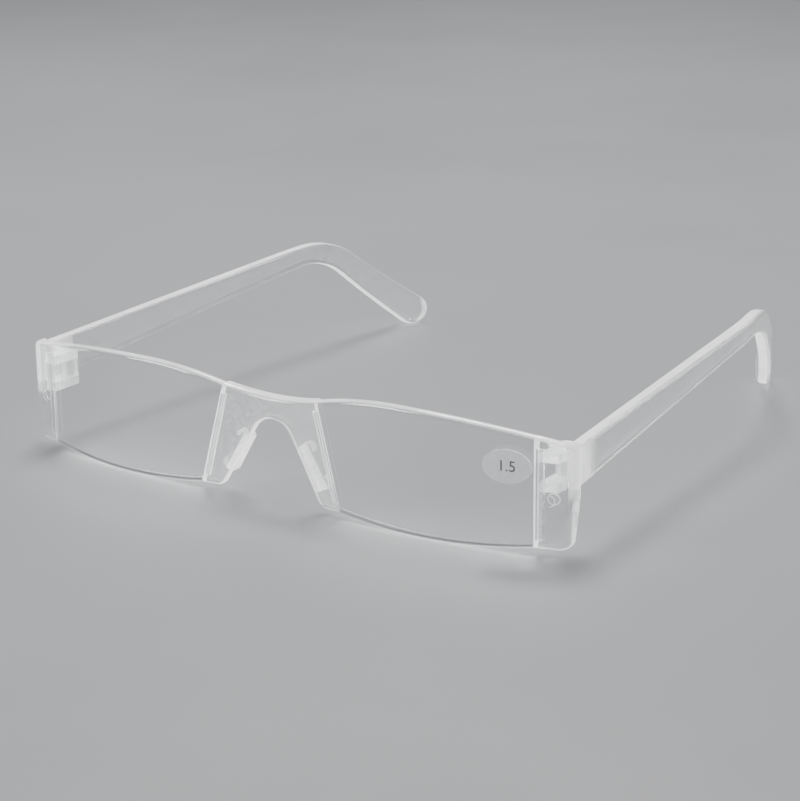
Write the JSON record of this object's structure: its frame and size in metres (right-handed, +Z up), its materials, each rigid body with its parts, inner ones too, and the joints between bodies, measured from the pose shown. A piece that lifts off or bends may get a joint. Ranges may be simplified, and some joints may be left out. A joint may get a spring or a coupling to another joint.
{
  "type": "eyeglasses",
  "caption": "Clear rimless-look reading glasses with a moulded bridge, wrapped end pieces and folding temples.",
  "frame": {"origin": "on the surface it stands on, midway between the sides and midway from the lens fronts to the temple tips", "axes": "+X towards the wearer's left side, -Y the way the lenses face, +Y towards the temple tips, +Z up"},
  "size_m": [0.1356, 0.1336, 0.0265],
  "materials": {
    "frosted_clear": "clear polycarbonate with a fine matt texture",
    "lens_clear": "polished clear lens plastic",
    "temple_clear": "clear moulded polycarbonate with a soft satin surface",
    "pad_clear": "glossy clear soft plastic",
    "pin_steel": "plain turned steel",
    "label_paper": "smooth printed label film"
  },
  "bodies": {
    "front": {"front_bridge": "frosted_clear", "power_label": "label_paper", "lens_left": "lens_clear", "end_piece_left": "frosted_clear", "nose_pad_left": "pad_clear", "hinge_pin_left": "pin_steel", "lens_right": "lens_clear", "end_piece_right": "frosted_clear", "nose_pad_right": "pad_clear", "hinge_pin_right": "pin_steel"},
    "temple_left": {"temple_left": "temple_clear"},
    "temple_right": {"temple_right": "temple_clear"}
  },
  "joints": [
    {"name": "left_hinge", "type": "hinge", "parent": "front", "child": "temple_left", "pos_m": [0.0622, -0.05341, 0.0167], "axis": [0, 0, 1], "range_deg": [0, 85]},
    {"name": "right_hinge", "type": "hinge", "parent": "front", "child": "temple_right", "pos_m": [-0.0622, -0.05341, 0.0167], "axis": [0, 0, -1], "range_deg": [0, 74]}
  ]
}
